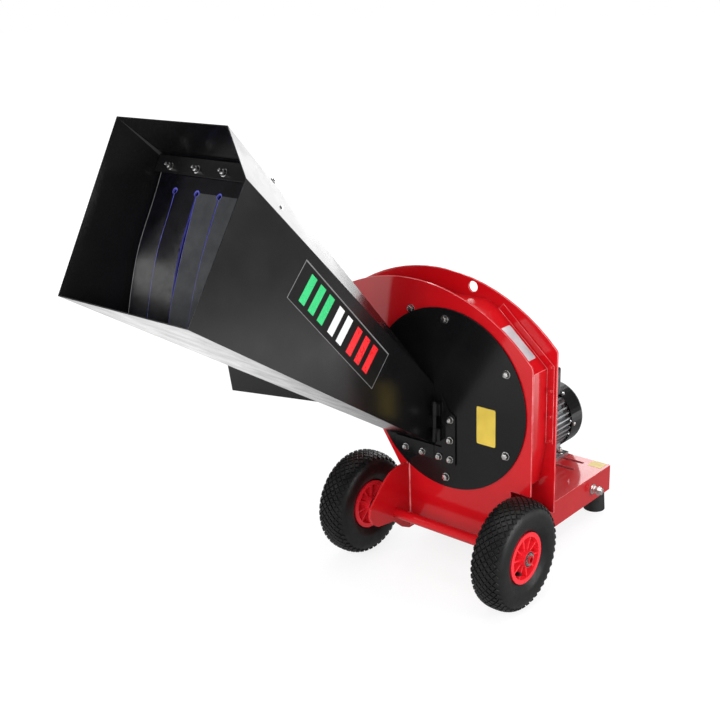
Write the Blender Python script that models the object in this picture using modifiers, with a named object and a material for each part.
"""Electric garden shredder: disc chipper with a raised hopper, on two wheels and two feet.

Units are metres. X runs along the front of the casing, Y from the hopper to the motor, Z up.
Sizes are written in the machine's own frame: the rotor's axis is at x = 0, the front face of
the casing at y = 0 and the ground at z = 0. The empty named machine carries that frame, so
that the middle of the whole outline comes to the world's origin.
"""
import math

import bmesh
import bpy
from mathutils import Matrix, Vector

# Clearances
gap = 0.0003              # between pieces that touch
running_gap = 0.0006      # between a turning piece and what it turns in

# Casing: two plates with a folded wall between them
plate_thickness = 0.005
casing_depth = 0.062      # from the front face to the front of the rear plate
rotor_height = 0.436
plate_bottom = 0.105
front_right = 0.235
front_crown_x = -0.108
front_crown_radius = 0.456
front_crown_top = 0.713
rear_right = 0.2585
rear_crown_x = -0.0737
rear_crown_radius = 0.4523
rear_crown_top = 0.7302
plate_left = -0.350
front_corner = 0.020      # radius where the crown meets the right edge
rear_corner = 0.014
crown_steps = 20
lifting_hole_x = 0.031
lifting_hole_z = 0.699
lifting_hole_radius = 0.0125
wall_thickness = 0.003
wall_top = 0.676
wall_crown_left = -0.240
wall_crown_right = 0.072
wall_fold_x = 0.105
wall_fold_drop = 0.016    # from the top down to the fold
wall_crown_drop = 0.044   # at the discharge side
wall_side_top = 0.543
wall_side_bottom = 0.366
wall_hip_x = 0.2177
wall_hip_z = 0.268
wall_foot_x = 0.060
wall_ramp_x = -0.135
wall_ramp_z = 0.236
wall_flange = 0.018
wall_flange_thickness = 0.003
wall_bottom = 0.205
casing_opening_radius = 0.188

# Cover plate and the window that the hopper feeds
cover_radius = 0.2215
cover_thickness = 0.004
window_left = -0.140
window_edge = 0.003       # how far the window stays inside the throat

# Hopper: a funnel between a throat on the cover and a square mouth
hopper_sheet = 0.0025
hopper_slope = math.radians(33.1)
floor_length = 0.850
throat_left = -0.175
throat_right = -0.033
throat_drop = 0.121       # from the rotor's axis down to the throat's floor
throat_right_rise = 0.031
throat_peak_x = -0.168
throat_peak_rise = 0.142
throat_shoulder_x = -0.200
throat_shoulder_rise = 0.079
mouth_bottom_left = -0.434
mouth_top_left = -0.475
mouth_height = 0.397
mouth_cut_width = 0.101
mouth_cut_height = 0.100

# Hopper flange and hinge
flange_thickness = 0.004
flange_drop = 0.037
flange_left = -0.150
leaf_right = 0.030
leaf_rise = 0.085         # above the throat's floor, like the knuckles
pin_x = -0.021
pin_y = -0.0205
pin_radius = 0.0035
knuckle_radius = 0.0065
knuckle_rise = 0.020
knuckle_length = 0.0315
pin_head = 0.003

# Rubber curtain in the mouth
curtain_depth = 0.109     # square to the mouth, from its rim
curtain_thickness = 0.004
curtain_clearance = 0.006
curtain_layer_step = 0.0045
curtain_swing = math.radians(10)
curtain_bow = 0.032       # how far the hem hangs inward of the clamp
curtain_curve = 2.4
curtain_bands = 6
curtain_left_gap = 0.011
first_finger = 0.070
finger_pitch = 0.068
slit_width = 0.002
slit_hole_radius = 0.004
inner_slit_drop = 0.012    # the inner sheet's slits end lower
uncut_band = 0.033
clamp_height = 0.039
clamp_thickness = 0.004

# Discharge chute
chute_end = -0.780
chute_end_bottom = 0.295
chute_end_lean = 0.031
chute_end_height = 0.180
chute_start_bottom = 0.343
chute_start_top = 0.640
chute_sheet = 0.0025

# Rotor
disc_radius = 0.185
disc_thickness = 0.012
disc_front = 0.022
hub_radius = 0.045
hub_length = 0.018
knife_length = 0.120
knife_width = 0.050
knife_thickness = 0.007
knife_inner = 0.055
knife_count = 2
anvil_gap = 0.0015
anvil_height = 0.014
anvil_length = 0.094
paddle_count = 4
paddle_height = 0.020
paddle_length = 0.110
paddle_thickness = 0.005
shaft_radius = 0.0175
shaft_front = 0.0145
shaft_nut_radius = 0.026
collar_length = 0.006
bearing_radius = 0.036
bearing_width = 0.018
housing_radius = 0.044
housing_flange_radius = 0.066
housing_flange_thickness = 0.010
housing_length = 0.130
bearing_inset = 0.004

# Belt drive
drive_pulley_radius = 0.045
driven_pulley_radius = 0.055
pulley_rim = 0.006
pulley_rim_width = 0.003
belt_width = 0.026
belt_thickness = 0.005
pulley_offset = 0.010     # from the end of the bearing housing to the pulleys
guard_sheet = 0.002
guard_clearance = 0.010

# Motor
motor_x = -0.060
motor_shaft_height = 0.0925   # above the tray
motor_shaft_radius = 0.012
motor_shield_gap = 0.060      # from the pulleys to the motor's front shield
motor_barrel_radius = 0.073
motor_fin_height = 0.014
motor_fin_count = 36
motor_fin_share = 0.36
motor_length = 0.209
motor_bore = 0.062
shield_length = 0.026
stator_bore = 0.0405
stator_length = 0.120
motor_rotor_radius = 0.040
motor_bearing_radius = 0.026
motor_bearing_width = 0.015
motor_foot_spread = 0.085
motor_foot_length = 0.188
motor_foot_thickness = 0.010
cowl_clearance = 0.001        # above the tray
cowl_sheet = 0.002
cowl_length = 0.057
cowl_overlap = 0.006
cowl_lug_width = 0.014
cooling_fan_radius = 0.070
cooling_fan_width = 0.022
cooling_fan_blades = 8
box_width = 0.150
box_length = 0.130
box_height = 0.080
box_seat = 0.016
button_radius = 0.011
button_length = 0.011
button_spacing = 0.036
button_travel = 0.004
inlet_radius = 0.021
inlet_length = 0.034

# Base tray, feet and belt tension bolt
tray_half_width = 0.150
tray_bottom = 0.050
tray_top = 0.121
tray_rear = 0.526
tray_sheet = 0.004
tray_lip = 0.020
foot_radius = 0.0285
foot_inset_x = 0.027
foot_inset_y = 0.032
slot_width = 0.011
slot_length = 0.150
tension_bolt_y = 0.434
tension_bolt_z = 0.085
tension_bolt_radius = 0.006
tension_bolt_length = 0.060
tension_nut_radius = 0.0135
tension_nut_length = 0.010
tension_bolt_end = 0.030   # beyond the tray

# Wheels
wheel_radius = 0.130
tyre_width = 0.082
track = 0.456
wheel_y = -0.053
rim_radius = 0.0605       # the flange beside the bead
bead_radius = 0.0525
bead_half_width = 0.0285
sidewall_shape = 0.75
tread_shape = 0.70
rim_dish_radius = 0.050
rim_depth = 0.0325
rib_count = 10
rib_thickness = 0.0035
rib_depth = 0.029         # from the rim's middle, on both sides
rim_step = 0.002
hub_half_length = 0.040
wheel_hub_radius = 0.021
axle_radius = 0.010
axle_bore = 0.0065
axle_tube_radius = 0.0125
left_bracket_x = -0.118
bracket_clearance = 0.0105   # from the right bracket to the wheel's hub
bracket_thickness = 0.005
wheel_clearance = 0.0025  # between the tyre and the casing plates above it
bracket_reach = 0.152
right_bracket_reach = 0.085
bracket_top = 0.250
bracket_foot = 0.070
axle_ring_radius = 0.0135
axle_ring_length = 0.003
axle_stick_out = 0.002

# Places worked out from the sizes above
throat_bottom = rotor_height - throat_drop
throat_right_top = rotor_height + throat_right_rise
throat_peak_z = rotor_height + throat_peak_rise
throat_shoulder_z = rotor_height + throat_shoulder_rise
leaf_top = throat_bottom + leaf_rise
knuckle_bottom = throat_bottom + knuckle_rise
right_bracket_x = track / 2 - hub_half_length - bracket_clearance
cover_front = -gap - cover_thickness
throat_y = cover_front - gap
rear_face = casing_depth + plate_thickness
housing_end = rear_face + gap + housing_length
belt_front = housing_end + pulley_offset
belt_rear = belt_front + belt_width
motor_front = belt_rear + motor_shield_gap
motor_z = tray_top + gap + motor_shaft_height
cowl_radius = motor_shaft_height - cowl_clearance
cowl_end = motor_front + shield_length + motor_length + cowl_length
floor_y = throat_y - floor_length * math.cos(hopper_slope)
floor_z = throat_bottom + floor_length * math.sin(hopper_slope)
axle_end = track / 2 + hub_half_length + gap + axle_ring_length + axle_stick_out
machine_shift = Vector((-(chute_end + axle_end) / 2, -(floor_y + cowl_end) / 2, 0.0))

collection = None
cutters = None


def material(name, colour, roughness, metallic=0.0):
    made = bpy.data.materials.new(name)
    made.use_nodes = True
    shader = made.node_tree.nodes["Principled BSDF"]
    shader.inputs["Base Color"].default_value = (*colour, 1.0)
    shader.inputs["Roughness"].default_value = roughness
    shader.inputs["Metallic"].default_value = metallic
    made.diffuse_color = (*colour, 1.0)
    return made


def frame_empty(name, place, parent=None):
    """An empty at a place in the machine's frame; its children are placed in that frame too."""
    empty = bpy.data.objects.new(name, None)
    collection.objects.link(empty)
    empty["place"] = list(place)
    empty.location = Vector(place)
    if parent:
        empty.parent = parent
        empty.location = Vector(place) - Vector(parent["place"])
    return empty


def put(name, mesh, place, parent, surface=None, turn=(0.0, 0.0, 0.0), cutter=False):
    """Make an object of a mesh at a place in the machine's frame."""
    made = bpy.data.objects.new(name, mesh)
    (cutters if cutter else collection).objects.link(made)
    made.parent = parent
    made.location = Vector(place) - Vector(parent["place"])
    made.rotation_euler = turn
    if surface:
        mesh.materials.append(surface)
    if cutter:
        made.hide_render = True
        made.display_type = "WIRE"
    return made


def boolean(target, other, operation):
    step = target.modifiers.new(other.name, "BOOLEAN")
    step.operation = operation
    step.solver = "EXACT"
    step.object = other


def nut_mesh(name, bore, radius, length):
    """A hexagon nut with a round bore along its own Z."""
    return flat_mesh(name, [circle(0.0, 0.0, radius, 6), circle(0.0, 0.0, bore, 24)], length)


def smooth_rounds(mesh):
    mesh.shade_smooth()
    mesh.set_sharp_from_angle(angle=math.radians(35))


def box_mesh(name, size, bevel=0.0):
    shape = bmesh.new()
    bmesh.ops.create_cube(shape, size=1.0)
    bmesh.ops.scale(shape, vec=size, verts=shape.verts)
    if bevel:
        bmesh.ops.bevel(shape, geom=shape.edges[:], offset=bevel, segments=2, profile=0.5, affect="EDGES")
    mesh = bpy.data.meshes.new(name)
    shape.to_mesh(mesh)
    shape.free()
    return mesh


def rod_mesh(name, radius, length, sides=32):
    """A solid cylinder along its own Z, centred on its origin."""
    shape = bmesh.new()
    bmesh.ops.create_cone(shape, cap_ends=True, segments=sides, radius1=radius, radius2=radius, depth=length)
    mesh = bpy.data.meshes.new(name)
    shape.to_mesh(mesh)
    shape.free()
    smooth_rounds(mesh)
    return mesh


def turned(name, profile, place, parent, surface, turn, steps=48):
    """A closed profile of (radius, height) points spun round its own Z by a Screw modifier."""
    mesh = bpy.data.meshes.new(name)
    count = len(profile)
    edges = [(i, (i + 1) % count) for i in range(count)]
    mesh.from_pydata([(radius, 0.0, height) for radius, height in profile], edges, [])
    made = put(name, mesh, place, parent, surface, turn)
    spin = made.modifiers.new("spin", "SCREW")
    spin.steps = steps
    spin.render_steps = steps
    spin.use_merge_vertices = True
    spin.merge_threshold = 0.00005
    return made


def washer_profile(inner, outer, bottom, top):
    """Outer side from top to bottom, then the bore from bottom to top."""
    return [(outer, top), (outer, bottom), (inner, bottom), (inner, top)]


def flat_mesh(name, loops, thickness):
    """A flat plate with holes: the first loop is its outline, the others are holes."""
    curve = bpy.data.curves.new(name, "CURVE")
    curve.dimensions = "2D"
    curve.fill_mode = "BOTH"
    curve.extrude = thickness / 2
    for loop in loops:
        spline = curve.splines.new("POLY")
        spline.points.add(len(loop) - 1)
        for point, (u, v) in zip(spline.points, loop):
            point.co = (u, v, 0.0, 1.0)
        spline.use_cyclic_u = True
    guide = bpy.data.objects.new(name + "_outline", curve)
    bpy.context.scene.collection.objects.link(guide)
    bpy.context.view_layer.update()
    shape = guide.evaluated_get(bpy.context.evaluated_depsgraph_get())
    mesh = bpy.data.meshes.new_from_object(shape)
    bpy.data.objects.remove(guide)
    work = bmesh.new()
    work.from_mesh(mesh)
    bmesh.ops.remove_doubles(work, verts=work.verts, dist=0.00001)
    bmesh.ops.recalc_face_normals(work, faces=work.faces)
    work.to_mesh(mesh)
    work.free()
    mesh.name = name
    return mesh


facing_front = (math.radians(90), 0.0, 0.0)
facing_side = (math.radians(90), 0.0, math.radians(90))
in_mouth_plane = (math.radians(90) - hopper_slope, 0.0, 0.0)
along_x = (0.0, math.radians(90), 0.0)
along_y = (math.radians(-90), 0.0, 0.0)


def sheet(name, loops, front, thickness, parent, surface, cutter=False):
    """A plate drawn in X and Z, from y = front towards +Y."""
    mesh = flat_mesh(name, loops, thickness)
    return put(name, mesh, (0.0, front + thickness / 2, 0.0), parent, surface, facing_front, cutter)


def arc(centre_u, centre_v, radius, start, end, steps):
    """Points on an arc from start to end, in degrees."""
    turn = [math.radians(start + (end - start) * i / steps) for i in range(steps + 1)]
    return [(centre_u + radius * math.cos(a), centre_v + radius * math.sin(a)) for a in turn]


def circle(centre_u, centre_v, radius, sides=32):
    return arc(centre_u, centre_v, radius, 0, 360 * (sides - 1) / sides, sides - 1)


def slot(centre_u, centre_v, length, width):
    """A long hole along U with round ends."""
    reach = length / 2 - width / 2
    right = arc(centre_u + reach, centre_v, width / 2, -90, 90, 6)
    left = arc(centre_u - reach, centre_v, width / 2, 90, 270, 6)
    return right + left


def belt_loop(radius_a, radius_b, sides=20):
    """The outline of a belt round the rotor's pulley a and the motor's pulley b."""
    run = Vector((motor_x, motor_z - rotor_height))
    distance = run.length
    heading = math.degrees(math.atan2(run.y, run.x))
    lean = math.degrees(math.acos((radius_a - radius_b) / distance))
    first = arc(0.0, rotor_height, radius_a, heading + lean, heading + 360 - lean, sides)
    second = arc(motor_x, motor_z, radius_b, heading - lean, heading + lean, sides)
    return first + second


def offset_line(points, distance):
    """The open line moved sideways, to its left when positive, with mitred corners."""
    moved = []
    for i, point in enumerate(points):
        before = Vector(points[i]) - Vector(points[i - 1]) if i else None
        after = Vector(points[i + 1]) - Vector(point) if i + 1 < len(points) else None
        sides = [Vector((-d.y, d.x)).normalized() for d in (before, after) if d is not None]
        middle = sum(sides, Vector((0.0, 0.0))).normalized()
        moved.append(tuple(Vector(point) + middle * distance / middle.dot(sides[0])))
    return moved


def inset_loop(points, distance):
    """A closed convex outline, counter-clockwise, drawn in by a distance."""
    count = len(points)
    drawn = []
    for i in range(count):
        before = (Vector(points[i]) - Vector(points[i - 1])).normalized()
        after = (Vector(points[(i + 1) % count]) - Vector(points[i])).normalized()
        sides = [Vector((-d.y, d.x)) for d in (before, after)]
        middle = (sides[0] + sides[1]).normalized()
        drawn.append(tuple(Vector(points[i]) + middle * distance / middle.dot(sides[0])))
    return drawn


def crown(centre_x, radius, top, left, right, corner):
    """The round top of a casing plate, from its rounded right corner to its left edge."""
    centre_z = top - radius
    inner = radius - corner
    lean = math.degrees(math.acos((right - corner - centre_x) / inner))
    corner_z = centre_z + inner * math.sin(math.radians(lean))
    end = math.degrees(math.acos((left - centre_x) / radius))
    rounded = arc(right - corner, corner_z, corner, 0, lean, 4)
    return rounded[:-1] + arc(centre_x, centre_z, radius, lean, end, crown_steps)


def casing_floor(x):
    """Height of the sloping lower edge on the discharge side."""
    slope = (chute_start_bottom - chute_end_bottom) / (plate_left - (chute_end + chute_end_lean))
    return chute_start_bottom + slope * (x - plate_left)


shoulder_low = (-0.143, 0.231)
shoulder_high = (-0.229, casing_floor(-0.229))


def lower_left():
    """The lower left edge that both plates share, from the discharge side to the bottom."""
    foot_x = left_bracket_x - bracket_thickness / 2
    return [(plate_left, chute_start_bottom), shoulder_high, shoulder_low,
            (foot_x, shoulder_low[1]), (foot_x, plate_bottom)]


def lower_right(edge, front_y):
    """The notch over the right wheel, as high as the tyre needs where the plate stands."""
    foot_x = right_bracket_x + bracket_thickness / 2
    reach = wheel_radius + wheel_clearance
    top = wheel_radius + math.sqrt(reach ** 2 - (front_y - wheel_y) ** 2)
    return [(foot_x, plate_bottom), (foot_x, top), (edge, top)]


def make_casing(machine, red, black):
    front = crown(front_crown_x, front_crown_radius, front_crown_top, plate_left, front_right, front_corner)
    outline = lower_right(front_right, 0.0) + front + lower_left()
    opening = circle(0.0, rotor_height, casing_opening_radius, 48)
    sheet("front_plate", [outline, opening], 0.0, plate_thickness, machine, red)

    rear = crown(rear_crown_x, rear_crown_radius, rear_crown_top, plate_left, rear_right, rear_corner)
    outline = lower_right(rear_right, casing_depth) + rear + lower_left()
    shaft_hole = circle(0.0, rotor_height, shaft_radius + 0.004)
    lifting_hole = circle(lifting_hole_x, lifting_hole_z, lifting_hole_radius, 24)
    sheet("rear_plate", [outline, shaft_hole, lifting_hole], casing_depth, plate_thickness, machine, red)

    wall_line = [
        (plate_left, wall_top - wall_crown_drop), (wall_crown_left, wall_top), (wall_crown_right, wall_top),
        (wall_fold_x, wall_top - wall_fold_drop), (front_right, wall_side_top),
        (front_right, wall_side_bottom), (wall_hip_x, wall_hip_z),
        (wall_foot_x, wall_bottom), (-wall_foot_x, wall_bottom),
        (wall_ramp_x, wall_ramp_z), (shoulder_high[0] + 0.007, shoulder_high[1]),
        (plate_left, chute_start_bottom + 0.0005)]
    inner = offset_line(wall_line, -wall_thickness)
    depth = casing_depth - plate_thickness - 2 * gap
    wall = sheet("casing_wrap", [wall_line + inner[::-1]], plate_thickness + gap, depth, machine, red)
    flange_line = wall_line[3:6]
    inside = offset_line(flange_line, -wall_thickness / 2)
    outside = offset_line(flange_line, wall_flange)
    flange_front = casing_depth - gap - wall_flange_thickness
    flange = sheet("wall_flange", [outside + inside[::-1]], flange_front, wall_flange_thickness,
                   machine, red, cutter=True)
    boolean(wall, flange, "UNION")

    disc = circle(0.0, rotor_height, cover_radius, 64)
    left, right = window_left, throat_right - window_edge
    bottom = throat_bottom + window_edge
    lean = (throat_peak_z - throat_right_top) / (throat_right - throat_peak_x)
    top_right = throat_right_top - window_edge
    top_left = top_right + lean * (right - left) - window_edge
    window = [(left, bottom), (right, bottom), (right, top_right), (left, top_left)]
    sheet("cover_plate", [disc, window], cover_front, cover_thickness, machine, black)


def make_hopper(hinge, black):
    rise = Vector((0.0, math.sin(hopper_slope), math.cos(hopper_slope)))
    lip = Vector((0.0, floor_y, floor_z))
    cut_left = throat_right - mouth_cut_width
    side_top = mouth_height - mouth_cut_height
    mouth = [(mouth_bottom_left, 0.0), (throat_right, 0.0), (throat_right, side_top),
             (cut_left, mouth_height), (mouth_top_left, mouth_height)]
    throat = [(throat_left, throat_bottom), (throat_right, throat_bottom),
              (throat_right, throat_right_top), (throat_peak_x, throat_peak_z),
              (throat_shoulder_x, throat_shoulder_z)]
    mouth_ring = [Vector((x, 0.0, 0.0)) + lip + rise * v for x, v in mouth]
    throat_ring = [Vector((x, throat_y, z)) for x, z in throat]
    return mouth_ring, throat_ring


def hopper_tail(mouth_ring, throat_ring):
    """The throat's corners, moved on past the cover so that the end can be cut flat."""
    return [root + (root - rim).normalized() * 0.03 for rim, root in zip(mouth_ring, throat_ring)]


def hopper_section(mouth_ring, throat_ring, depth):
    """The funnel's outline at a depth square to the mouth, as (x, height) in that plane.

    Each side is folded on one diagonal, so there is a point on every corner and every fold.
    """
    rise = Vector((0.0, math.sin(hopper_slope), math.cos(hopper_slope)))
    inward = Vector((0.0, math.cos(hopper_slope), -math.sin(hopper_slope)))
    base = Vector((0.0, floor_y, floor_z)) + inward * depth
    tail = hopper_tail(mouth_ring, throat_ring)
    section = []
    for i, root in enumerate(tail):
        for rim in (mouth_ring[i], mouth_ring[(i + 1) % len(tail)]):
            share = depth / (root - rim).dot(inward)
            point = rim.lerp(root, share)
            section.append((point.x, (point - base).dot(rise)))
    return base, section


def make_funnel(hinge, black, mouth_ring, throat_ring):
    """Five flat sides between unlike ends, so the faces are listed and Solidify gives the sheet."""
    tail = hopper_tail(mouth_ring, throat_ring)
    origin = Vector(hinge["place"])
    mesh = bpy.data.meshes.new("hopper")
    count = len(mouth_ring)
    points = [point - origin for point in mouth_ring + tail]
    faces = []
    for i in range(count):
        j = (i + 1) % count
        faces.append((i, i + count, j))
        faces.append((j, i + count, j + count))
    mesh.from_pydata(points, [], faces)
    funnel = put("hopper", mesh, origin, hinge, black)
    wall = funnel.modifiers.new("sheet", "SOLIDIFY")
    wall.thickness = hopper_sheet
    wall.offset = -1.0
    wall.use_even_offset = True
    wall.use_rim = True
    block = put("throat_cut", box_mesh("throat_cut", (0.6, 0.2, 0.9)), (-0.1, throat_y + 0.1, 0.45),
                hinge, None, cutter=True)
    boolean(funnel, block, "DIFFERENCE")
    return funnel


def make_hinge(machine, hinge, black, steel):
    flange_front = throat_y - flange_thickness
    strip = [(flange_left, throat_bottom - flange_drop), (throat_right, throat_bottom - flange_drop),
             (throat_right, throat_bottom - gap), (flange_left, throat_bottom - gap)]
    sheet("hopper_flange", [strip], flange_front, flange_thickness, hinge, black)

    leaf_left = throat_right + 0.001
    riser_left = pin_x + knuckle_radius + 0.005
    leaf = [(leaf_left, throat_bottom - flange_drop), (leaf_right, throat_bottom - flange_drop),
            (leaf_right, leaf_top), (leaf_right - 0.018, leaf_top + 0.012),
            (riser_left, knuckle_bottom + 3 * knuckle_length + 0.02), (riser_left, throat_bottom),
            (leaf_left, throat_bottom)]
    plate = sheet("hinge_leaf", [leaf], flange_front, flange_thickness, machine, black)
    web_width = riser_left + 0.004 - pin_x
    for i in (0, 2):
        z = knuckle_bottom + (i + 0.5) * knuckle_length
        long = knuckle_length - 2 * gap
        web_depth = flange_front + 0.002 - pin_y
        web = put("leaf_web_%d" % i, box_mesh("web", (web_width, web_depth, long)),
                  (pin_x + web_width / 2, pin_y + web_depth / 2, z), machine, None, cutter=True)
        barrel = put("leaf_barrel_%d" % i, rod_mesh("barrel", knuckle_radius, long, 20),
                     (pin_x, pin_y, z), machine, None, cutter=True)
        boolean(plate, web, "UNION")
        boolean(plate, barrel, "UNION")
    bore = put("leaf_bore", rod_mesh("bore", pin_radius + gap, 5 * knuckle_length, 20),
               (pin_x, pin_y, knuckle_bottom + 1.5 * knuckle_length), machine, None, cutter=True)
    boolean(plate, bore, "DIFFERENCE")

    z = knuckle_bottom + 1.5 * knuckle_length
    knuckle = put("hinge_knuckle", rod_mesh("hinge_knuckle", knuckle_radius, knuckle_length - 2 * gap, 20),
                  (pin_x, pin_y, z), hinge, black)
    tab_reach = pin_x - throat_right - gap
    tab = put("knuckle_tab", box_mesh("tab", (tab_reach, 2 * knuckle_radius - 0.001, knuckle_length - 2 * gap)),
              (pin_x - tab_reach / 2, pin_y, z), hinge, None, cutter=True)
    hole = put("knuckle_bore", rod_mesh("bore", pin_radius + gap, 2 * knuckle_length, 20),
               (pin_x, pin_y, z), hinge, None, cutter=True)
    boolean(knuckle, tab, "UNION")
    boolean(knuckle, hole, "DIFFERENCE")

    half = 1.5 * knuckle_length + gap
    profile = [(knuckle_radius - 0.001, half + pin_head), (knuckle_radius - 0.001, half), (pin_radius, half),
               (pin_radius, -half), (knuckle_radius - 0.001, -half), (knuckle_radius - 0.001, -half - pin_head),
               (0.0, -half - pin_head), (0.0, half + pin_head)]
    turned("hinge_pin", profile, (pin_x, pin_y, z), machine, steel, (0.0, 0.0, 0.0), 20)


def curtain_sag(height, fixed, hem):
    """How far the sheet hangs inward at a height; it is straight in each of its bands."""
    place = max(0.0, (fixed - height) / (fixed - hem)) * curtain_bands
    band = min(int(place), curtain_bands - 1)
    upper, lower = [curtain_bow * (edge / curtain_bands) ** curtain_curve for edge in (band, band + 1)]
    return upper + (lower - upper) * (place - band)


def bend_curtain(mesh, fixed, hem):
    """Cut the flat sheet into bands below the clamp and move them inward."""
    work = bmesh.new()
    work.from_mesh(mesh)
    for band in range(curtain_bands):
        height = fixed + (hem - fixed) * band / curtain_bands
        parts = work.verts[:] + work.edges[:] + work.faces[:]
        bmesh.ops.bisect_plane(work, geom=parts, dist=0.00001, plane_co=(0.0, height, 0.0),
                               plane_no=(0.0, 1.0, 0.0))
    for point in work.verts:
        point.co.z -= curtain_sag(point.co.y, fixed, hem)
    bmesh.ops.triangulate(work, faces=work.faces)
    work.to_mesh(mesh)
    work.free()


def curtain_outline(section, deep_section, shift):
    """The sheet's outline, with slits that run up from the lower edge to a round hole.

    The deep section is the funnel where the hem goes when it swings in, so the hem is as
    narrow as the funnel is there.
    """
    left_bottom, right_bottom, right_top = deep_section[0], section[2], section[4]
    left_top = (section[8][0] + curtain_left_gap, section[8][1])
    slit_top = left_top[1] - clamp_height - uncut_band + shift
    points = [left_bottom]
    slit_count = int((right_top[0] - left_top[0] - first_finger) / finger_pitch)
    for i in range(slit_count):
        head = left_top[0] + first_finger + i * finger_pitch
        share = (head - left_top[0]) / (right_top[0] - left_top[0])
        foot = left_bottom[0] + (right_bottom[0] - left_bottom[0]) * share
        half = slit_width / 2
        points.append((foot - half, left_bottom[1]))
        points += [(head + slit_hole_radius * math.cos(a), slit_top + slit_hole_radius * math.sin(a))
                   for a in (math.radians(255 - 30 * k) for k in range(12))]
        points.append((foot + half, left_bottom[1]))
    return points + [right_bottom, right_top, section[6], left_top]


def make_curtain(hinge, rubber, black, mouth_ring, throat_ring):
    """Two rubber sheets hang from a bar under the hopper's top and swing in together."""
    rise = Vector((0.0, math.sin(hopper_slope), math.cos(hopper_slope)))
    inset = hopper_sheet + curtain_clearance
    swing = None
    for i, name in enumerate(("flap_outer", "flap_inner")):
        depth = curtain_depth + i * curtain_layer_step
        base, section = hopper_section(mouth_ring, throat_ring, depth)
        section = inset_loop(section, inset)
        top = min(section[6][1], section[8][1])
        section[6] = (section[6][0], top)
        section[8] = (section[8][0], top)
        if not swing:
            swing = frame_empty("curtain_swing", base + rise * top, hinge)
        hem = section[0][1]
        deep = depth + curtain_bow + (top - hem) * math.sin(curtain_swing)
        deep_section = inset_loop(hopper_section(mouth_ring, throat_ring, deep)[1], inset)
        outline = curtain_outline(section, deep_section, -inner_slit_drop * i)
        mesh = flat_mesh(name, [outline], curtain_thickness)
        bend_curtain(mesh, top - clamp_height, hem)
        put(name, mesh, base, swing, rubber, in_mouth_plane)
    depth = curtain_depth - curtain_thickness / 2 - gap - clamp_thickness / 2
    base, section = hopper_section(mouth_ring, throat_ring, depth)
    section = inset_loop(section, hopper_sheet + gap)
    top = min(point[1] for point in section[6:9])
    left, right = section[8][0] + 0.0049, section[6][0]
    bar = [(left, top - clamp_height), (right, top - clamp_height), (right, top), (left, top)]
    mesh = flat_mesh("flap_clamp", [bar], clamp_thickness)
    put("flap_clamp", mesh, base, hinge, black, in_mouth_plane)
    print("curtain axis at", [round(v, 5) for v in Vector(swing["place"]) + machine_shift])


def make_chute(machine, black):
    start = plate_left - gap
    outline = [(start, chute_start_bottom), (start, chute_start_top),
               (chute_end, chute_end_bottom + chute_end_height),
               (chute_end + chute_end_lean, chute_end_bottom)]
    chute = sheet("discharge_chute", [outline], 0.0, rear_face, machine, black)
    reach = 0.05
    lower = (chute_start_bottom - chute_end_bottom) / (start - chute_end - chute_end_lean)
    upper = (chute_start_top - chute_end_bottom - chute_end_height) / (start - chute_end)
    right, left = start + reach, chute_end - reach
    bore = [(left, chute_end_bottom + chute_sheet + lower * (left - chute_end - chute_end_lean)),
            (right, chute_start_bottom + chute_sheet + lower * reach),
            (right, chute_start_top - chute_sheet + upper * reach),
            (left, chute_end_bottom + chute_end_height - chute_sheet - upper * reach)]
    hollow = sheet("chute_hollow", [bore], chute_sheet, rear_face - 2 * chute_sheet, machine, None, cutter=True)
    boolean(chute, hollow, "DIFFERENCE")


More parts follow.
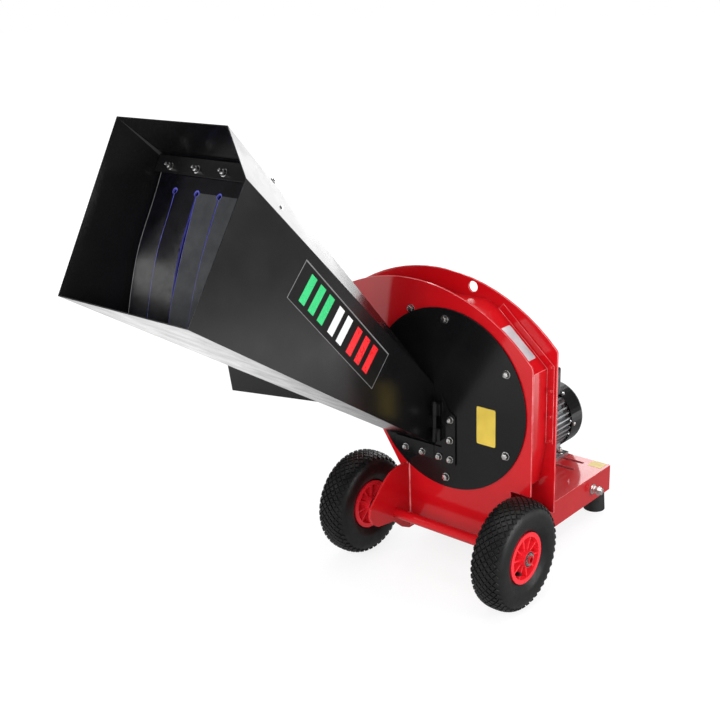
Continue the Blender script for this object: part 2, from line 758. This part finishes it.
def make_rotor(machine, rotor, steel, dark_steel, cast, red):
    centre = (0.0, disc_front, rotor_height)
    back = disc_thickness
    bore = shaft_radius + gap
    profile = [(hub_radius, back + hub_length), (hub_radius, back), (disc_radius, back), (disc_radius, 0.0),
               (bore, 0.0), (bore, back + hub_length)]
    turned("rotor_disc", profile, centre, rotor, dark_steel, along_y, 64)

    for i in range(knife_count):
        angle = math.radians(20 + 360 * i / knife_count)
        middle = knife_inner + knife_length / 2
        shape = [(-knife_length / 2, -knife_width / 2), (knife_length / 2, -knife_width / 2),
                 (knife_length / 2, knife_width / 2), (-knife_length / 2, knife_width / 2)]
        knife = put("knife_%d" % (i + 1), flat_mesh("knife", [shape], knife_thickness),
                    (middle * math.cos(angle), disc_front - gap - knife_thickness / 2,
                     rotor_height + middle * math.sin(angle)), rotor, steel)
        knife.rotation_euler = (math.radians(90), -angle, 0.0)
    for i in range(paddle_count):
        angle = math.radians(20 + 360 * (i + 0.5) / paddle_count)
        middle = disc_radius - paddle_length / 2
        paddle = put("paddle_%d" % (i + 1), box_mesh("paddle", (paddle_length, paddle_height, paddle_thickness)),
                     (middle * math.cos(angle), disc_front + back + gap + paddle_height / 2,
                      rotor_height + middle * math.sin(angle)), rotor, dark_steel)
        paddle.rotation_euler = (0.0, -angle, 0.0)

    shaft_end = belt_rear + pulley_rim_width + 0.004
    shaft_profile = [(shaft_radius, shaft_end - shaft_front), (shaft_radius, 0.0), (0.0, 0.0),
                     (0.0, shaft_end - shaft_front)]
    turned("rotor_shaft", shaft_profile, (0.0, shaft_front, rotor_height), rotor, steel, along_y, 32)
    put("shaft_collar", nut_mesh("shaft_collar", bore, shaft_nut_radius, collar_length),
        (0.0, disc_front - gap - collar_length / 2, rotor_height), rotor, steel, along_y)

    anvil_front = gap
    anvil_back = disc_front - gap - knife_thickness - anvil_gap
    anvil_top = throat_bottom + window_edge - gap
    anvil_right = throat_right - window_edge
    put("counter_knife", box_mesh("counter_knife", (anvil_length, anvil_back - anvil_front, anvil_height)),
        (anvil_right - anvil_length / 2, (anvil_front + anvil_back) / 2, anvil_top - anvil_height / 2),
        machine, steel)

    bearing_bore = bearing_radius + gap
    step = bearing_width + bearing_inset
    narrow = bearing_radius - 0.006
    profile = [(housing_radius, housing_length), (housing_radius, housing_flange_thickness),
               (housing_flange_radius, housing_flange_thickness), (housing_flange_radius, 0.0),
               (bearing_bore, 0.0), (bearing_bore, step), (narrow, step), (narrow, housing_length - step),
               (bearing_bore, housing_length - step), (bearing_bore, housing_length)]
    housing_y = rear_face + gap
    turned("bearing_housing", profile, (0.0, housing_y, rotor_height), machine, cast, along_y, 40)
    places = (housing_y + bearing_inset - gap, housing_end - bearing_inset - bearing_width + gap)
    for name, y in zip(("front_bearing", "rear_bearing"), places):
        turned(name, washer_profile(bore, bearing_radius, 0.0, bearing_width), (0.0, y, rotor_height),
               machine, steel, along_y, 32)


def pulley_profile(radius, bore):
    rim = radius + pulley_rim
    wide = belt_width + pulley_rim_width
    return [(rim, wide), (rim, belt_width), (radius, belt_width), (radius, 0.0), (rim, 0.0),
            (rim, -pulley_rim_width), (bore, -pulley_rim_width), (bore, wide)]


def make_belt_drive(machine, rotor, motor, cast, rubber, black):
    turned("driven_pulley", pulley_profile(driven_pulley_radius, shaft_radius + gap),
           (0.0, belt_front, rotor_height), rotor, cast, along_y, 40)
    turned("drive_pulley", pulley_profile(drive_pulley_radius, motor_shaft_radius + gap),
           (motor_x, belt_front, motor_z), motor, cast, along_y, 40)
    slack = 2 * gap
    inner = belt_loop(driven_pulley_radius + slack, drive_pulley_radius + slack)
    outer = belt_loop(driven_pulley_radius + slack + belt_thickness, drive_pulley_radius + slack + belt_thickness)
    sheet("drive_belt", [outer, inner], belt_front + slack, belt_width - 2 * slack, machine, rubber)

    reach = pulley_rim + guard_clearance
    wide = belt_loop(driven_pulley_radius + reach, drive_pulley_radius + reach)
    narrow = belt_loop(driven_pulley_radius + reach - guard_sheet, drive_pulley_radius + reach - guard_sheet)
    plate_front = housing_end + gap
    shaft_hole = circle(0.0, rotor_height, shaft_radius + 0.003)
    sheet("guard_plate", [wide, shaft_hole], plate_front, guard_sheet, machine, black)
    cup_front = plate_front + guard_sheet + gap
    cup_depth = belt_rear + guard_clearance - cup_front
    cup = sheet("belt_guard", [wide, circle(motor_x, motor_z, motor_shaft_radius + 0.004)], cup_front, cup_depth,
                machine, black)
    hollow = sheet("guard_hollow", [narrow], cup_front - 0.01, cup_depth + 0.01 - guard_sheet, machine, None,
                   cutter=True)
    boolean(cup, hollow, "DIFFERENCE")


def make_motor(machine, motor, alloy, black, steel, dark_steel, copper, plastic, red_plastic, green_plastic):
    back = motor_front + shield_length
    fins = []
    pitch = 360 / motor_fin_count
    for i in range(motor_fin_count):
        half = pitch * motor_fin_share / 2
        for angle, radius in ((-half, motor_barrel_radius), (-half * 0.7, motor_barrel_radius + motor_fin_height),
                              (half * 0.7, motor_barrel_radius + motor_fin_height), (half, motor_barrel_radius)):
            turn = math.radians(i * pitch + angle)
            fins.append((motor_x + radius * math.cos(turn), motor_z + radius * math.sin(turn)))
    body_length = motor_length - 2 * gap
    body = sheet("motor_housing", [fins, circle(motor_x, motor_z, motor_bore, 40)], back + gap, body_length,
                 machine, alloy)
    foot_bottom = tray_top + gap
    leg_height = motor_shaft_height - motor_barrel_radius + 0.006
    for i, side in enumerate((-1, 1)):
        pad_width = motor_foot_spread - 0.045
        pad = put("foot_pad_%d" % i, box_mesh("pad", (pad_width, motor_foot_length, motor_foot_thickness)),
                  (motor_x + side * (motor_foot_spread - pad_width / 2), back + motor_length / 2,
                   foot_bottom + motor_foot_thickness / 2), machine, None, cutter=True)
        leg = put("foot_leg_%d" % i, box_mesh("leg", (0.014, motor_foot_length, leg_height + 0.012)),
                  (motor_x + side * 0.052, back + motor_length / 2,
                   foot_bottom + 0.001 + (leg_height + 0.012) / 2), machine, None, cutter=True)
        boolean(body, pad, "UNION")
        boolean(body, leg, "UNION")
    seat_top = motor_z + motor_barrel_radius + box_seat
    seat = put("box_seat", box_mesh("seat", (box_width * 0.7, box_length * 0.7, 0.022)),
               (motor_x, back + motor_length / 2, seat_top - 0.011), machine, None, cutter=True)
    boolean(body, seat, "UNION")

    centre = (motor_x, back + motor_length / 2, motor_z)
    turned("stator_core", washer_profile(stator_bore, motor_bore - gap, -stator_length / 2, stator_length / 2),
           centre, machine, copper, along_y, 40)
    turned("motor_rotor", washer_profile(motor_shaft_radius + gap, motor_rotor_radius - 0.0,
                                         -stator_length / 2, stator_length / 2),
           centre, motor, dark_steel, along_y, 32)
    fan_y = back + motor_length + shield_length * 0.7 + 0.003
    shaft_start = belt_front - pulley_rim_width - 0.002
    shaft_end = fan_y + cooling_fan_width
    shaft = [(motor_shaft_radius, shaft_end - shaft_start), (motor_shaft_radius, 0.0), (0.0, 0.0),
             (0.0, shaft_end - shaft_start)]
    turned("motor_shaft", shaft, (motor_x, shaft_start, motor_z), motor, steel, along_y, 24)

    seat_radius = motor_bearing_radius + gap
    hole = motor_shaft_radius + running_gap
    floor = shield_length - motor_bearing_width - gap
    rim = motor_barrel_radius + motor_fin_height
    front_profile = [(rim, shield_length), (rim - 0.001, shield_length * 0.4), (rim * 0.62, 0.004),
                     (seat_radius + 0.004, 0.0), (hole, 0.0), (hole, floor), (seat_radius, floor),
                     (seat_radius, shield_length)]
    turned("motor_shield_front", front_profile, (motor_x, motor_front, motor_z), machine, alloy, along_y, 40)
    rear_length = shield_length * 0.7
    rear_rim = motor_barrel_radius + 0.004
    rear_profile = [(seat_radius + 0.004, rear_length), (rear_rim, rear_length * 0.4), (rear_rim, 0.0),
                    (seat_radius, 0.0), (seat_radius, motor_bearing_width), (hole, motor_bearing_width),
                    (hole, rear_length)]
    rear_y = back + motor_length
    shield = turned("motor_shield_rear", rear_profile, (motor_x, rear_y, motor_z), machine, alloy, along_y, 40)
    lug_end = math.sqrt((cowl_radius - cowl_sheet - gap) ** 2 - (cowl_lug_width / 2) ** 2)
    lug_size = (lug_end - rear_rim + 0.006, cowl_lug_width, rear_length * 0.4)
    for i in range(4):
        turn = math.radians(45 + 90 * i)
        middle = lug_end - lug_size[0] / 2
        lug = put("cowl_lug_%d" % i, box_mesh("lug", lug_size),
                  (motor_x + middle * math.cos(turn), rear_y + lug_size[2] / 2, motor_z + middle * math.sin(turn)),
                  machine, None, cutter=True)
        lug.rotation_euler = (math.radians(90), -turn, 0.0)
        boolean(shield, lug, "UNION")
    ring = washer_profile(motor_shaft_radius + gap, motor_bearing_radius, 0.0, motor_bearing_width - gap)
    turned("motor_bearing_front", ring, (motor_x, motor_front + floor + gap, motor_z), machine, steel, along_y, 24)
    turned("motor_bearing_rear", ring, (motor_x, rear_y, motor_z), machine, steel, along_y, 24)

    blades = []
    blade_half = math.degrees(0.0015 / 0.022)
    for i in range(cooling_fan_blades):
        turn = 360 * i / cooling_fan_blades
        tip = math.degrees(0.0015 / cooling_fan_radius)
        for angle, radius in ((turn - blade_half, 0.022), (turn - tip, cooling_fan_radius),
                              (turn + tip, cooling_fan_radius), (turn + blade_half, 0.022)):
            blades.append((motor_x + radius * math.cos(math.radians(angle)),
                           motor_z + radius * math.sin(math.radians(angle))))
    mesh = flat_mesh("cooling_fan", [blades, circle(motor_x, motor_z, motor_shaft_radius + gap, 24)],
                     cooling_fan_width)
    bmesh_shift(mesh, (-motor_x, -motor_z, 0.0))
    put("cooling_fan", mesh, (motor_x, fan_y + cooling_fan_width / 2, motor_z), motor, plastic, facing_front)

    start = -cowl_overlap
    inside = cowl_radius - cowl_sheet
    corner = 0.010
    profile = [(cowl_radius - corner, cowl_length), (cowl_radius - 0.003, cowl_length - 0.003),
               (cowl_radius, cowl_length - corner), (cowl_radius, start), (inside, start),
               (inside, cowl_length - corner), (inside - 0.003, cowl_length - cowl_sheet - 0.003),
               (cowl_radius - corner, cowl_length - cowl_sheet)]
    cowl = turned("fan_cowl", profile, (motor_x, rear_y, motor_z), machine, black, along_y, 48)
    rings = []
    for ring_index, count in ((1, 8), (2, 14), (3, 20)):
        radius = 0.018 + 0.019 * ring_index
        for i in range(count):
            angle = 2 * math.pi * i / count
            rings.append(circle(radius * math.cos(angle), radius * math.sin(angle), 0.0046, 8))
    grille = put("cowl_grille", flat_mesh("grille", [circle(0.0, 0.0, cowl_radius - corner + 0.0015, 48)] + rings,
                                          cowl_sheet - 0.0004),
                 (motor_x, rear_y + cowl_length - cowl_sheet / 2, motor_z), machine, None, facing_front,
                 cutter=True)
    boolean(cowl, grille, "UNION")
    return seat_top, back


def bmesh_shift(mesh, step):
    mesh.transform(Matrix.Translation(step))


def make_switch_box(machine, seat_top, back, plastic, red_plastic, green_plastic, blue_plastic):
    bottom = seat_top + gap
    middle_y = back + motor_length / 2
    body = put("switch_box", box_mesh("switch_box", (box_width, box_length, box_height), 0.006),
               (motor_x, middle_y, bottom + box_height / 2), machine, plastic)
    face_y = middle_y + box_length / 2
    button_z = bottom + box_height * 0.62
    for name, side, surface in (("start_button", -1, green_plastic), ("stop_button", 1, red_plastic)):
        x = motor_x + side * button_spacing / 2
        well = put(name + "_well", rod_mesh("well", button_radius + running_gap, 0.02, 24),
                   (x, face_y, button_z), machine, None, along_y, cutter=True)
        boolean(body, well, "DIFFERENCE")
        button = put(name, rod_mesh(name, button_radius, button_length, 24),
                     (x, face_y - 0.010 + button_travel + gap + button_length / 2, button_z), machine, surface,
                     along_y)
    inlet_z = bottom + box_height / 2
    side_x = motor_x - box_width / 2 - gap
    profile = [(inlet_radius, inlet_length), (inlet_radius, 0.005), (inlet_radius + 0.007, 0.005),
               (inlet_radius + 0.007, 0.0), (0.0, 0.0), (0.0, 0.010), (inlet_radius - 0.003, 0.010),
               (inlet_radius - 0.003, inlet_length)]
    turned("mains_inlet", profile, (side_x, middle_y, inlet_z), machine, blue_plastic,
           (0.0, math.radians(-90), 0.0), 32)


def make_base(machine, red, rubber, steel):
    front = rear_face + gap
    length = tray_rear - front
    middle_y = (front + tray_rear) / 2
    height = tray_top - tray_bottom
    tray = put("base_tray", box_mesh("base_tray", (2 * tray_half_width, length, height)),
               (0.0, middle_y, (tray_top + tray_bottom) / 2), machine, red)
    size = (2 * tray_half_width - 2 * tray_sheet, length - 2 * tray_sheet, height - 2 * tray_sheet)
    hollow = put("tray_hollow", box_mesh("hollow", size), (0.0, middle_y, (tray_top + tray_bottom) / 2),
                 machine, None, cutter=True)
    boolean(tray, hollow, "DIFFERENCE")
    size = (2 * tray_half_width - 2 * tray_lip, length - 2 * tray_lip, 0.03)
    opening = put("tray_opening", box_mesh("opening", size), (0.0, middle_y, tray_bottom), machine, None,
                  cutter=True)
    boolean(tray, opening, "DIFFERENCE")
    hole_rows = (tray_rear - 0.033, tray_rear - 0.083, motor_front + shield_length + 0.030)
    for i, y in enumerate(hole_rows):
        mesh = flat_mesh("slot", [slot(0.0, 0.0, slot_length, slot_width)], 0.03)
        for j, x in enumerate((motor_x + 0.068, motor_x - 0.068)):
            if i < 2 and j == 1:
                continue
            shorter = mesh if i < 2 else flat_mesh("slot", [slot(0.0, 0.0, 0.060, slot_width)], 0.03)
            cut = put("tray_slot_%d_%d" % (i, j), shorter.copy(), (x if i == 2 else 0.013, y, tray_top), machine,
                      None, cutter=True)
            boolean(tray, cut, "DIFFERENCE")

    foot_height = tray_bottom - gap
    for name, side in (("foot_left", -1), ("foot_right", 1)):
        profile = [(foot_radius * 0.92, foot_height), (foot_radius * 0.92, foot_height * 0.8),
                   (foot_radius, 0.0), (0.0, 0.0), (0.0, foot_height)]
        turned(name, profile, (side * (tray_half_width - foot_inset_x), tray_rear - foot_inset_y, 0.0),
               machine, rubber, (0.0, 0.0, 0.0), 32)

    side_hole = put("bolt_hole", rod_mesh("hole", tension_bolt_radius + gap, 0.03, 20),
                    (tray_half_width, tension_bolt_y, tension_bolt_z), machine, None, along_x, cutter=True)
    boolean(tray, side_hole, "DIFFERENCE")
    start = tray_half_width + gap
    profile = [(tension_nut_radius, tension_nut_length), (tension_nut_radius, 0.0), (tension_bolt_radius, 0.0),
               (tension_bolt_radius, -tension_bolt_length), (0.0, -tension_bolt_length), (0.0, tension_bolt_end),
               (tension_bolt_radius, tension_bolt_end), (tension_bolt_radius, tension_nut_length)]
    turned("tension_bolt", profile, (start, tension_bolt_y, tension_bolt_z), machine, steel, along_x, 24)


def rib_star():
    """The radial ribs of a rim, which end inside its hub and its ring."""
    inner, outer = wheel_hub_radius - 2 * rim_step, rim_dish_radius + rim_step
    star = bmesh.new()
    for i in range(rib_count):
        rib = bmesh.ops.create_cube(star, size=1.0)["verts"]
        bmesh.ops.scale(star, vec=(outer - inner, rib_thickness, 2 * rib_depth), verts=rib)
        bmesh.ops.translate(star, vec=((outer + inner) / 2, 0.0, 0.0), verts=rib)
        turn = Matrix.Rotation(math.radians(360 * (i + 0.25) / rib_count), 3, "Z")
        bmesh.ops.rotate(star, cent=(0.0, 0.0, 0.0), matrix=turn, verts=rib)
    mesh = bpy.data.meshes.new("ribs")
    star.to_mesh(mesh)
    star.free()
    return mesh


def make_wheels(machine, red, tyre_rubber, red_plastic, steel):
    axle_z = wheel_radius
    for name, side in (("left", -1), ("right", 1)):
        centre = (side * track / 2, wheel_y, axle_z)
        hub = frame_empty("wheel_%s" % name, centre, machine)
        outward = (0.0, math.radians(90 * side), 0.0)
        bead = bead_half_width - gap
        profile = [(bead_radius + gap, -bead), (bead_radius + gap, bead), (rim_radius + gap, bead)]
        middle = (rim_radius + wheel_radius) / 2
        for i in range(13):
            angle = math.radians(205 - 230 * i / 12)
            bulge_u = math.copysign(abs(math.cos(angle)) ** sidewall_shape, math.cos(angle))
            bulge_v = math.copysign(abs(math.sin(angle)) ** tread_shape, math.sin(angle))
            profile.append((middle + (wheel_radius - middle) * bulge_v, -tyre_width / 2 * bulge_u))
        profile.append((rim_radius + gap, -bead))
        turned("tyre_%s" % name, profile, centre, hub, tyre_rubber, outward, 48)

        web = 0.006
        dish = rim_depth
        bore = axle_radius + running_gap
        profile = [(rim_radius, dish), (rim_radius, bead_half_width), (bead_radius, bead_half_width),
                   (bead_radius, -bead_half_width), (rim_radius, -bead_half_width), (rim_radius, -dish),
                   (rim_dish_radius, -dish), (rim_dish_radius - rim_step, -web / 2),
                   (wheel_hub_radius, -web / 2), (wheel_hub_radius - 0.002, -hub_half_length),
                   (bore, -hub_half_length), (bore, hub_half_length),
                   (wheel_hub_radius - 0.002, hub_half_length), (wheel_hub_radius, web / 2),
                   (rim_dish_radius - rim_step, web / 2), (rim_dish_radius, dish)]
        rim = turned("rim_%s" % name, profile, centre, hub, red_plastic, outward, 48)
        ribs = put("rim_ribs_%s" % name, rib_star(), centre, hub, None, outward, cutter=True)
        boolean(rim, ribs, "UNION")
        ring_x = side * (track / 2 + hub_half_length + gap + axle_ring_length / 2)
        ring = washer_profile(axle_radius + gap, axle_ring_radius, -axle_ring_length / 2, axle_ring_length / 2)
        turned("axle_ring_%s" % name, ring, (ring_x, wheel_y, axle_z), machine, steel, along_x, 32)

    turned("axle", washer_profile(axle_bore, axle_radius, -axle_end, axle_end), (0.0, wheel_y, axle_z), machine,
           red, along_x, 32)
    tube_half = track / 2 - hub_half_length - gap
    turned("axle_tube", washer_profile(axle_radius + gap, axle_tube_radius, -tube_half, tube_half),
           (0.0, wheel_y, axle_z), machine, red, along_x, 32)

    rear = rear_face
    low = plate_bottom - gap
    front = -gap
    outline = [(front, bracket_top - 0.012), (-0.014, bracket_top), (-0.045, bracket_top), (-0.074, bracket_top - 0.008),
               (-0.101, bracket_top - 0.026), (-0.129, bracket_top - 0.055),
               (-bracket_reach + 0.003, 0.175), (-bracket_reach, 0.155), (-bracket_reach + 0.009, 0.133),
               (-bracket_reach + 0.030, 0.119), (-0.064, 0.111), (-0.032, bracket_foot + 0.013),
               (-0.005, bracket_foot), (rear, bracket_foot), (rear, low), (front, low)]
    short = [(front, bracket_top - 0.030), (-0.040, bracket_top - 0.040),
             (-right_bracket_reach, wheel_radius + 0.020), (-right_bracket_reach, wheel_radius - 0.010),
             (-0.064, 0.108), (-0.005, bracket_foot), (rear, bracket_foot), (rear, low), (front, low)]
    hole = circle(wheel_y, axle_z, axle_tube_radius + gap)
    for name, x, shape in (("left", left_bracket_x, outline), ("right", right_bracket_x, short)):
        mesh = flat_mesh("wheel_bracket_%s" % name, [shape, hole], bracket_thickness)
        put("wheel_bracket_%s" % name, mesh, (x, 0.0, 0.0), machine, red, facing_side)


def main():
    global collection, cutters
    for old in list(bpy.data.objects):
        bpy.data.objects.remove(old)
    collection = bpy.data.collections.new("garden_shredder")
    cutters = bpy.data.collections.new("cutters")
    for group in (collection, cutters):
        bpy.context.scene.collection.children.link(group)

    red = material("red_paint", (0.62, 0.015, 0.02), 0.25)
    black = material("black_paint", (0.012, 0.012, 0.013), 0.30)
    steel = material("zinc_steel", (0.62, 0.62, 0.60), 0.35, 1.0)
    dark_steel = material("machined_steel", (0.30, 0.30, 0.31), 0.45, 1.0)
    cast = material("cast_iron", (0.08, 0.08, 0.085), 0.6, 0.6)
    alloy = material("cast_aluminium", (0.55, 0.56, 0.57), 0.5, 0.9)
    copper = material("windings", (0.45, 0.20, 0.08), 0.5, 0.5)
    rubber = material("curtain_rubber", (0.02, 0.02, 0.03), 0.55)
    foot_rubber = material("foot_rubber", (0.03, 0.03, 0.03), 0.7)
    tyre_rubber = material("tyre_rubber", (0.025, 0.025, 0.025), 0.8)
    red_plastic = material("red_plastic", (0.60, 0.02, 0.025), 0.4)
    green_plastic = material("green_plastic", (0.02, 0.30, 0.06), 0.4)
    plastic = material("black_plastic", (0.02, 0.02, 0.022), 0.5)
    blue_plastic = material("blue_plastic", (0.02, 0.08, 0.35), 0.45)

    machine = bpy.data.objects.new("machine", None)
    collection.objects.link(machine)
    machine["place"] = [0.0, 0.0, 0.0]
    machine.location = machine_shift
    hinge = frame_empty("hopper_swing", (pin_x, pin_y, knuckle_bottom + 1.5 * knuckle_length), machine)
    rotor = frame_empty("rotor_spin", (0.0, disc_front, rotor_height), machine)
    motor = frame_empty("motor_spin", (motor_x, motor_front, motor_z), machine)

    make_casing(machine, red, black)
    mouth_ring, throat_ring = make_hopper(hinge, black)
    make_funnel(hinge, black, mouth_ring, throat_ring)
    make_hinge(machine, hinge, black, steel)
    make_curtain(hinge, rubber, black, mouth_ring, throat_ring)
    make_chute(machine, black)
    make_rotor(machine, rotor, steel, dark_steel, cast, red)
    make_belt_drive(machine, rotor, motor, cast, rubber, black)
    seat_top, back = make_motor(machine, motor, alloy, black, steel, dark_steel, copper, plastic,
                                red_plastic, green_plastic)
    make_switch_box(machine, seat_top, back, plastic, red_plastic, green_plastic, blue_plastic)
    make_base(machine, red, foot_rubber, steel)
    make_wheels(machine, red, tyre_rubber, red_plastic, steel)
    print("machine frame moved by", [round(v, 6) for v in machine_shift])


main()
